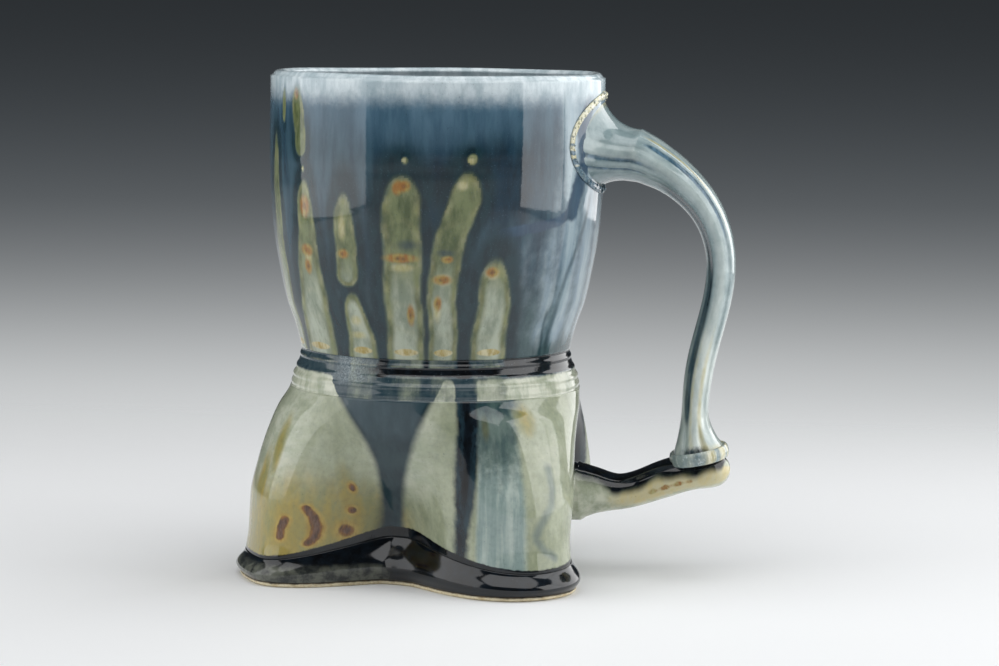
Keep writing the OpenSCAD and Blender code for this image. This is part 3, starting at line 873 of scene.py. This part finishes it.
def make_arm():
    rings, a, s = sweep(ARM_KEYS, arm_print, ARM_MESH, arm_relief)
    x = rings[..., 0]
    top = -np.cos(np.radians(a))
    wave = .16 * np.sin(x * .35) + .08 * np.sin(x * .9)
    limit = mix(.56, .16, rise(.1, .6, s)) + wave * .8
    spots = bump_at(a, 286, 9) * span(.45, .55, .66, .74, s) * (.7 + .3 * np.sin(x * 1.9))
    fields = {
        "black": .45 + (top - limit) * 1.3 - 1.2 * rise(.86, .95, s),
        "cream": rise(.25, .5, s) * bump_at(a, 283, 34),
        "orange": np.where(s > .3, 1.6 * spots - .6, -2),
    }
    return build("handle_arm_glazed", rings, "handle_arm", arm_glaze(), fields,
                 caps=True)


# ---- seams ----

def bead(centre, radius, stretch):
    """Points and faces of one small bead."""
    rows, cols = 7, 10
    lat = np.linspace(-np.pi / 2, np.pi / 2, rows)[1:-1]
    lon = np.arange(cols) * 2 * np.pi / cols
    pts = [np.stack([np.cos(t) * np.cos(lon), np.cos(t) * np.sin(lon), np.full(cols, np.sin(t))], 1)
           for t in lat]
    pts = np.concatenate(pts + [np.array([[0, 0, -1.0], [0, 0, 1.0]])]) * radius * stretch + centre
    n = len(lat)
    faces = [[i * cols + k, i * cols + (k + 1) % cols, (i + 1) * cols + (k + 1) % cols,
              (i + 1) * cols + k] for i in range(n - 1) for k in range(cols)]
    faces += [[(k + 1) % cols, k, n * cols] for k in range(cols)]
    faces += [[(n - 1) * cols + k, (n - 1) * cols + (k + 1) % cols, n * cols + 1]
              for k in range(cols)]
    return pts, faces


def make_seam(name, node, path, radial, beads, seed, wide, tall, paint):
    """A low band of slip along a closed path, with beads pressed into it if there are any.

    radial gives the way out of the body at each point of the path.
    """
    rng = random.Random(seed)
    n = len(path)
    ahead, back = np.roll(path, -1, 0), np.roll(path, 1, 0)
    along = ahead - back
    along /= np.linalg.norm(along, axis=1, keepdims=True)
    out = np.cross(along, np.cross(radial, along))
    out /= np.linalg.norm(out, axis=1, keepdims=True)
    side = np.cross(along, out)
    sides = 12
    turns = np.arange(sides) * 2 * np.pi / sides
    swell = 1 + .18 * np.sin(np.arange(n) * .61) + .1 * np.sin(np.arange(n) * 1.7)
    band = (path[:, None] + out[:, None] * (np.cos(turns)[None] * tall * swell[:, None])[..., None]
            + side[:, None] * (np.sin(turns)[None] * wide)[..., None])
    i = np.arange(n)[:, None]
    k = np.arange(sides)[None]
    here, there, turned = i * sides, ((i + 1) % n) * sides, (k + 1) % sides
    quads = np.stack([here + k, here + turned, there + turned, there + k], -1).reshape(-1, 4)
    points = band.reshape(-1, 3)
    p0, p1, p2 = (points[quads[:, j]] for j in range(3))
    if np.einsum("ij,ij->i", p0 - path.mean(0), np.cross(p1 - p0, p2 - p0)).sum() < 0:
        quads = quads[:, ::-1]
    parts, faces, count = [points], quads.tolist(), len(points)
    for j in range(beads):
        at = int((j + rng.uniform(-.25, .25)) / beads * n) % n
        offset = rng.uniform(-.45, .45) * wide + (.35 if j % 2 else -.35) * wide
        centre = path[at] + out[at] * tall * rng.uniform(.45, .8) + side[at] * offset
        pts, fcs = bead(centre, rng.uniform(.24, .50), np.array([1, 1, rng.uniform(.8, 1.3)]))
        faces += [[v + count for v in f] for f in fcs]
        parts.append(pts)
        count += len(pts)
    points = np.concatenate(parts)
    return put(name, points, faces, node, bead_glaze(), paint(points))


def make_seams():
    ang = np.arange(240) * 2 * np.pi / 240

    def upper(p):
        low = 1 - rise(103, 116, p[:, 2])
        return {"cream": .72 - .6 * low + .2 * np.sin(p[:, 2] * 3), "soot": low * .2,
                "pale": np.full(len(p), .3)}

    def knuckle(p):
        outside = rise(66, 73, p[:, 0])
        blotch = .5 + .5 * np.sin(p[:, 1] * 1.1 + p[:, 0] * .7)
        return {"cream": outside * (.35 + .35 * blotch), "pale": .6 + .3 * blotch,
                "soot": (1 - outside) * .5 * blotch}

    def arm(p):
        return {"cream": np.full(len(p), .55), "pale": np.full(len(p), .9),
                "soot": .9 * rise(25, 29, p[:, 2])}

    root, flat = cup_print(ang, .7, .1), np.array([1, 1, 0])
    make_seam("upper_seam_beads", "upper_seam", root, root * flat, 96, 5, .95, .30, upper)
    foot = STRAP_KEYS[-1]
    ring = section(foot, heading(STRAP_KEYS, 1), foot[2] + .4, foot[3] + .4, ang)
    make_seam("knuckle_seam_slip", "knuckle_seam", ring, ring - ring.mean(0), 0, 8, 1.7, .6,
              knuckle)
    root = arm_print(ang, .6, .05)
    make_seam("arm_seam_slip", "arm_seam", root, root * flat, 0, 3, .7, .55, arm)


# ---- studio ----

CAMERA_AZIMUTH = 7.0
CAMERA_AWAY, CAMERA_HIGH = .850, .15109
CAMERA_YAW, CAMERA_PITCH, CAMERA_ROLL = 1.11, 5.956, .65
LENS = 119.0
FLOOR_NEAR, FLOOR_FAR, FLOOR_SIDE = -.62, .43, .9
# Where the floor fades: axis, where it starts and where it has gone
FADES = (("Y", .10, .42), ("Y", -.40, -.60), ("X", .52, .86), ("X", -.52, -.86))
# The backdrop's grey from below the horizon to above it
BACKDROP = ((.18, .74), (.31, .64), (.43, .25), (.545, .092), (.70, .034), (.85, .024))


def facing_matrix(x, y, back, at):
    """Placement of a camera or lamp from its right, up and backward directions."""
    m = Matrix([[x[i], y[i], back[i], 0] for i in range(3)] + [[0, 0, 0, 1]])
    m.translation = at
    return m


def make_camera():
    a = math.radians(CAMERA_AZIMUTH)
    p, roll = math.radians(CAMERA_PITCH), math.radians(CAMERA_ROLL)
    facing = math.atan2(math.cos(a), -math.sin(a)) - math.radians(CAMERA_YAW)
    ahead = np.array([math.cos(facing) * math.cos(p), math.sin(facing) * math.cos(p), -math.sin(p)])
    right = np.array([math.sin(facing), -math.cos(facing), 0])
    up = np.cross(right, ahead)
    x = math.cos(roll) * right + math.sin(roll) * up
    y = -math.sin(roll) * right + math.cos(roll) * up
    data = bpy.data.cameras.new("camera")
    data.lens, data.sensor_width, data.clip_start = LENS, 36, .01
    cam = bpy.data.objects.new("camera", data)
    at = (CAMERA_AWAY * math.sin(a), -CAMERA_AWAY * math.cos(a), CAMERA_HIGH)
    cam.matrix_world = facing_matrix(x, y, -ahead, at)
    bpy.context.scene.collection.objects.link(cam)
    bpy.context.scene.camera = cam


def soft_light(name, direction, away, low, high, width, radiance, target):
    """Upright soft box. direction counts from the camera, positive to its right."""
    a = math.radians(direction + CAMERA_AZIMUTH)
    place(name, (away * math.sin(a), -away * math.cos(a), (low + high) / 2), width, high - low,
          radiance, target)


def place(name, at, width, height, radiance, target):
    """Rectangular lamp that faces the stein's axis at the height target."""
    data = bpy.data.lights.new(name, "AREA")
    data.shape, data.size, data.size_y = "RECTANGLE", width, height
    data.energy = radiance * math.pi * width * height
    light = bpy.data.objects.new(name, data)
    back = np.array(at, float) - [0, 0, target]
    back /= np.linalg.norm(back)
    x = np.cross([0, 0, 1], back) if abs(back[2]) < .99 else np.array([1.0, 0, 0])
    x /= np.linalg.norm(x)
    y = np.cross(back, x)
    light.matrix_world = facing_matrix(x, y, back, at)
    light.visible_camera = False
    bpy.context.scene.collection.objects.link(light)


def fade_out(tree, shader):
    """The floor fades into the backdrop towards each edge, as on a long sweep of paper."""
    coord = tree.nodes.new("ShaderNodeTexCoord")
    split = tree.nodes.new("ShaderNodeSeparateXYZ")
    tree.links.new(coord.outputs["Object"], split.inputs[0])
    clear = tree.nodes.new("ShaderNodeBsdfTransparent")
    both = tree.nodes.new("ShaderNodeMixShader")
    last = both.inputs[0]
    for axis, start, end in FADES:
        spread = tree.nodes.new("ShaderNodeMapRange")
        spread.interpolation_type = "SMOOTHSTEP"
        spread.inputs["From Min"].default_value = start
        spread.inputs["From Max"].default_value = end
        most = tree.nodes.new("ShaderNodeMath")
        most.operation = "MAXIMUM"
        most.inputs[1].default_value = 0
        tree.links.new(split.outputs[axis], spread.inputs["Value"])
        tree.links.new(spread.outputs["Result"], most.inputs[0])
        tree.links.new(most.outputs[0], last)
        last = most.inputs[1]
    tree.links.new(shader.outputs[0], both.inputs[1])
    tree.links.new(clear.outputs[0], both.inputs[2])
    tree.links.new(both.outputs[0], tree.nodes["Material Output"].inputs["Surface"])


def make_lights():
    soft_light("left_box", -76, .50, .005, .58, .54, 1.75, .28)
    soft_light("right_box", 75, .52, .01, .56, .33, 2.7, .28)
    soft_light("rear_box", 121, .75, .0, .80, .74, 2.3, .40)
    place("top_box", (.05, -.24, .92), 1.2, 1.1, 2.05, .02)


def make_floor():
    floor_mat = bpy.data.materials.new("studio_floor")
    floor_mat.use_nodes = True
    shader = floor_mat.node_tree.nodes["Principled BSDF"]
    shader.inputs["Base Color"].default_value = (.84, .85, .86, 1)
    shader.inputs["Roughness"].default_value = .6
    fade_out(floor_mat.node_tree, shader)
    mesh = bpy.data.meshes.new("studio_floor")
    mesh.from_pydata([(-FLOOR_SIDE, FLOOR_NEAR, 0), (FLOOR_SIDE, FLOOR_NEAR, 0),
                      (FLOOR_SIDE, FLOOR_FAR, 0), (-FLOOR_SIDE, FLOOR_FAR, 0)], [], [(0, 1, 2, 3)])
    mesh.materials.append(floor_mat)
    floor = bpy.data.objects.new("studio_floor", mesh)
    bpy.context.scene.collection.objects.link(floor)


def make_backdrop():
    world = bpy.data.worlds.new("studio")
    bpy.context.scene.world = world
    world.use_nodes = True
    tree = world.node_tree
    background = tree.nodes["Background"]
    coord = tree.nodes.new("ShaderNodeTexCoord")
    split = tree.nodes.new("ShaderNodeSeparateXYZ")
    spread = tree.nodes.new("ShaderNodeMapRange")
    spread.inputs["From Min"].default_value = -.2
    spread.inputs["From Max"].default_value = .05
    ramp = tree.nodes.new("ShaderNodeValToRGB")
    ramp.color_ramp.interpolation = "B_SPLINE"
    points = ramp.color_ramp.elements
    while len(points) < len(BACKDROP):
        points.new(.5)
    for point, (at, grey) in zip(points, BACKDROP):
        point.position = at
        cool = max(0, 1 - grey / .3)
        point.color = (grey * (.975 - .12 * cool), grey, grey * (1.01 + .12 * cool), 1)
    tree.links.new(coord.outputs["Generated"], split.inputs[0])
    tree.links.new(split.outputs["Z"], spread.inputs["Value"])
    tree.links.new(spread.outputs["Result"], ramp.inputs["Fac"])
    tree.links.new(ramp.outputs["Color"], background.inputs["Color"])
    bpy.context.scene.view_settings.view_transform = "Standard"


make_camera()
make_lights()
make_floor()
make_backdrop()
make_cup()
make_waist()
make_skirt()
make_lip()
make_slab()
make_strap()
make_arm()
make_seams()

bpy.context.view_layer.update()
